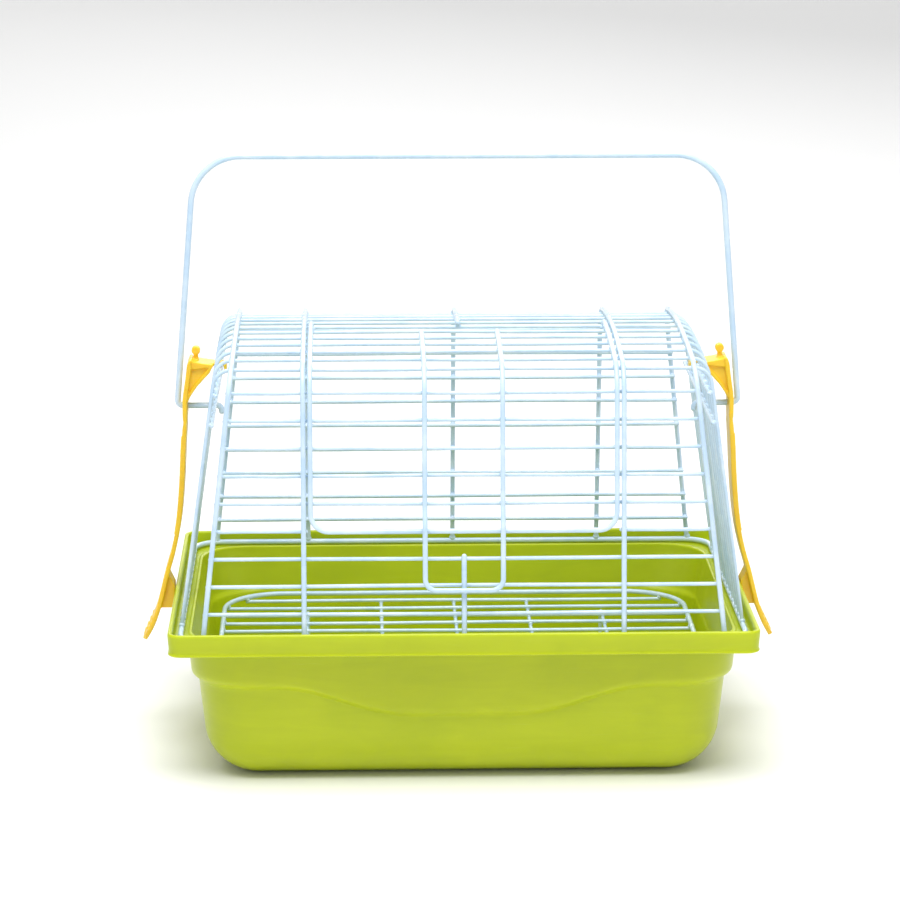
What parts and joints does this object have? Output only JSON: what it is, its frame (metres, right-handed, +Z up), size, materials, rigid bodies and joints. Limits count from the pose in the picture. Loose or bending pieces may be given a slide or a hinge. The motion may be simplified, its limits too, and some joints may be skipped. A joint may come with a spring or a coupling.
{
  "type": "small animal carrier",
  "caption": "Small carrier: moulded tray with floor grate, domed wire top, hinged top-and-front door with latch tongue, swinging bail handle and side clips.",
  "frame": {"origin": "middle of the tray's flat underside, on the surface it stands on", "axes": "+X along the carrier's length, -Y towards the door side, +Z up"},
  "size_m": [0.258, 0.17, 0.2392],
  "materials": {
    "tray_plastic": "glossy moulded lime green",
    "coated_wire": "glossy pale blue-white coating",
    "clip_plastic": "semi-gloss moulded yellow"
  },
  "bodies": {
    "tray": {"tray": "tray_plastic"},
    "grate": {"grate_frame": "coated_wire", "grate_slat_wires": "coated_wire", "grate_cross_wires": "coated_wire", "grate_leg_wires": "coated_wire"},
    "wire_top": {"base_frame_wire": "coated_wire", "left_outer_arch_wire": "coated_wire", "right_outer_arch_wire": "coated_wire", "left_inner_arch_wire": "coated_wire", "right_inner_arch_wire": "coated_wire", "rear_centre_arch_wire": "coated_wire", "latch_post_wire": "coated_wire", "front_cross_wires": "coated_wire", "rear_cross_wires": "coated_wire", "roof_cross_wires": "coated_wire", "door_hinge_wire": "coated_wire", "left_front_short_wires": "coated_wire", "right_front_short_wires": "coated_wire", "left_roof_short_wires": "coated_wire", "right_roof_short_wires": "coated_wire", "left_end_uprights": "coated_wire", "right_end_uprights": "coated_wire", "left_end_rail_wires": "coated_wire", "right_end_rail_wires": "coated_wire", "left_clip_head": "clip_plastic", "right_clip_head": "clip_plastic"},
    "door": {"door_frame_wire": "coated_wire", "door_cross_wires": "coated_wire", "door_latch_tongue_wire": "coated_wire"},
    "handle": {"handle_wire": "coated_wire"},
    "left_clip": {"left_clip_arm": "clip_plastic"},
    "right_clip": {"right_clip_arm": "clip_plastic"}
  },
  "joints": [
    {"name": "grate_lift", "type": "slide", "parent": "tray", "child": "grate", "axis": [0, 0, 1], "range_m": [0, 0.066]},
    {"name": "top_lift", "type": "slide", "parent": "tray", "child": "wire_top", "axis": [0, 0, 1], "range_m": [0, 0.12]},
    {"name": "door_hinge", "type": "hinge", "parent": "wire_top", "child": "door", "pos_m": [0, 0.00536, 0.16761], "axis": [-1, 0, 0], "range_deg": [0, 70]},
    {"name": "handle_pivot", "type": "hinge", "parent": "wire_top", "child": "handle", "pos_m": [0, 0, 0.137], "axis": [1, 0, 0], "range_deg": [-115, 115]},
    {"name": "left_clip_flex", "type": "hinge", "parent": "wire_top", "child": "left_clip", "pos_m": [-0.1102, 0, 0.131], "axis": [0, 1, 0], "range_deg": [0, 25], "stiffness_Nm_per_rad": 0.05},
    {"name": "right_clip_flex", "type": "hinge", "parent": "wire_top", "child": "right_clip", "pos_m": [0.1102, 0, 0.131], "axis": [0, -1, 0], "range_deg": [0, 25], "stiffness_Nm_per_rad": 0.05}
  ]
}
